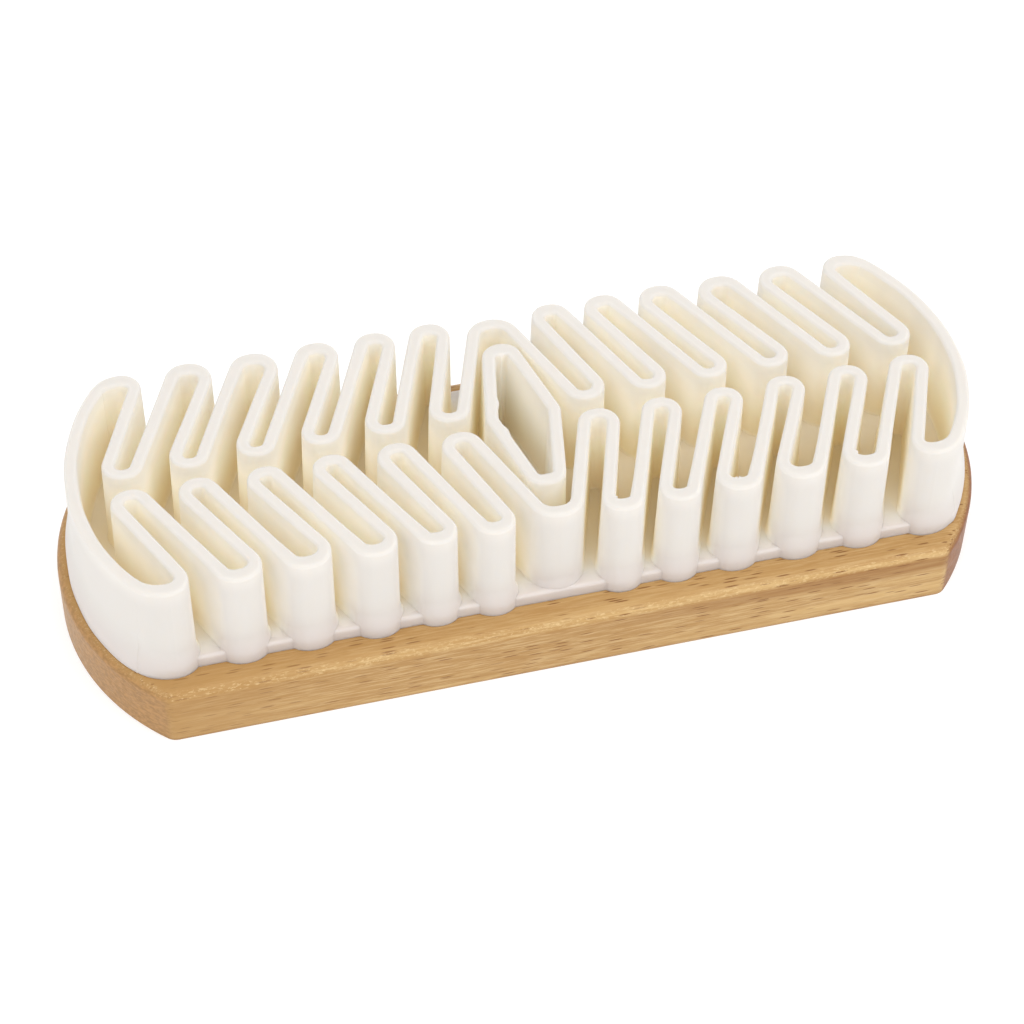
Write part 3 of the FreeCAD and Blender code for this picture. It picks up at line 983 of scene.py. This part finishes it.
class SUEDE_BRUSH_OT_stage(bpy.types.Operator):
    """Sets the floor, the lights and the camera"""

    bl_idname = "suede_brush.stage"
    bl_label = "Stage"

    def execute(self, context):
        stage = context.scene.suede_brush_stage
        corners = [(x * FLOOR_HALF, y * FLOOR_HALF, 0) for x, y in ((-1, -1), (1, -1), (1, 1), (-1, 1))]
        mesh = bpy.data.meshes.new("floor")
        mesh.from_pydata(corners, [], [(0, 1, 2, 3)])
        floor = new_piece("floor", mesh)
        painted(floor, floor_finish(stage.floor, stage.floor_glow))
        self.light("left_light", stage.left_power, 0.5, (-0.5, -0.3, 0.62))
        self.light("right_light", stage.right_power, 0.5, (0.5, -0.3, 0.62))
        self.light("front_light", stage.front_power, 0.5, (0.0, -0.8, 0.35))
        self.light("overhead_light", stage.overhead_power, 0.7, (0.05, 0.1, 0.8))
        world = bpy.data.worlds.new("studio")
        world.use_nodes = True
        sky = world.node_tree.nodes["Background"]
        joined(world.node_tree, sky, {"Color": (1.0, 1.0, 1.0, 1.0), "Strength": stage.sky})
        context.scene.world = world
        context.scene.view_settings.view_transform = "Standard"
        self.camera(context.scene, stage)
        return {"FINISHED"}

    def light(self, name, energy, width, place):
        """Soft square light aimed at the brush."""
        lamp = bpy.data.lights.new(name, "AREA")
        lamp.energy = energy
        lamp.size = width
        light = new_piece(name, lamp)
        light.location = place
        light.rotation_mode = "QUATERNION"
        light.rotation_quaternion = (-Vector(place)).to_track_quat("-Z", "Y")

    def camera(self, scene, stage):
        """Camera at the photograph's angle."""
        turn, lift = stage.azimuth, stage.elevation
        back = Vector((math.sin(turn) * math.cos(lift), -math.cos(turn) * math.cos(lift), math.sin(lift)))
        level = Vector((math.cos(turn), math.sin(turn), 0))
        upright = back.cross(level)
        right = level * math.cos(stage.roll) + upright * math.sin(stage.roll)
        up = upright * math.cos(stage.roll) - level * math.sin(stage.roll)
        camera = new_piece("camera", bpy.data.cameras.new("camera"))
        camera.matrix_world = Matrix((right, up, back)).transposed().to_4x4()
        camera.location = Vector(stage.target) + back * stage.distance
        camera.data.sensor_width = SENSOR_WIDTH
        camera.data.lens = stage.lens
        camera.data.clip_start = CLIP_NEAR
        camera.data.clip_end = CLIP_FAR
        scene.camera = camera


class SUEDE_BRUSH_PT_panel(bpy.types.Panel):
    """Lists the pieces of the brush and the stage"""

    bl_idname = "SUEDE_BRUSH_PT_panel"
    bl_label = "Suede brush"
    bl_space_type = "VIEW_3D"
    bl_region_type = "UI"
    bl_category = "Suede brush"

    def draw(self, context):
        for operator in OPERATORS:
            self.layout.operator(operator.bl_idname)


OPERATORS = (
    SUEDE_BRUSH_OT_rubber_pad,
    SUEDE_BRUSH_OT_beech_block,
    SUEDE_BRUSH_OT_glue_film,
    SUEDE_BRUSH_OT_stage,
)
SETTINGS = {
    "suede_brush_rubber": SuedeBrushRubber,
    "suede_brush_beech": SuedeBrushBeech,
    "suede_brush_stage": SuedeBrushStage,
}


def register():
    """Adds the settings, the operators and the panel."""
    for group in SETTINGS.values():
        bpy.utils.register_class(group)
    for name, group in SETTINGS.items():
        setattr(bpy.types.Scene, name, PointerProperty(type=group))
    for item in (*OPERATORS, SUEDE_BRUSH_PT_panel):
        bpy.utils.register_class(item)


def unregister():
    """Takes them away again."""
    for item in reversed((*OPERATORS, SUEDE_BRUSH_PT_panel)):
        bpy.utils.unregister_class(item)
    for name in SETTINGS:
        delattr(bpy.types.Scene, name)
    for group in reversed(SETTINGS.values()):
        bpy.utils.unregister_class(group)


def main():
    """Builds the brush and its stage."""
    register()
    bpy.ops.suede_brush.rubber_pad()
    bpy.ops.suede_brush.beech_block()
    bpy.ops.suede_brush.glue_film()
    bpy.ops.suede_brush.stage()


if __name__ == "__main__":
    main()
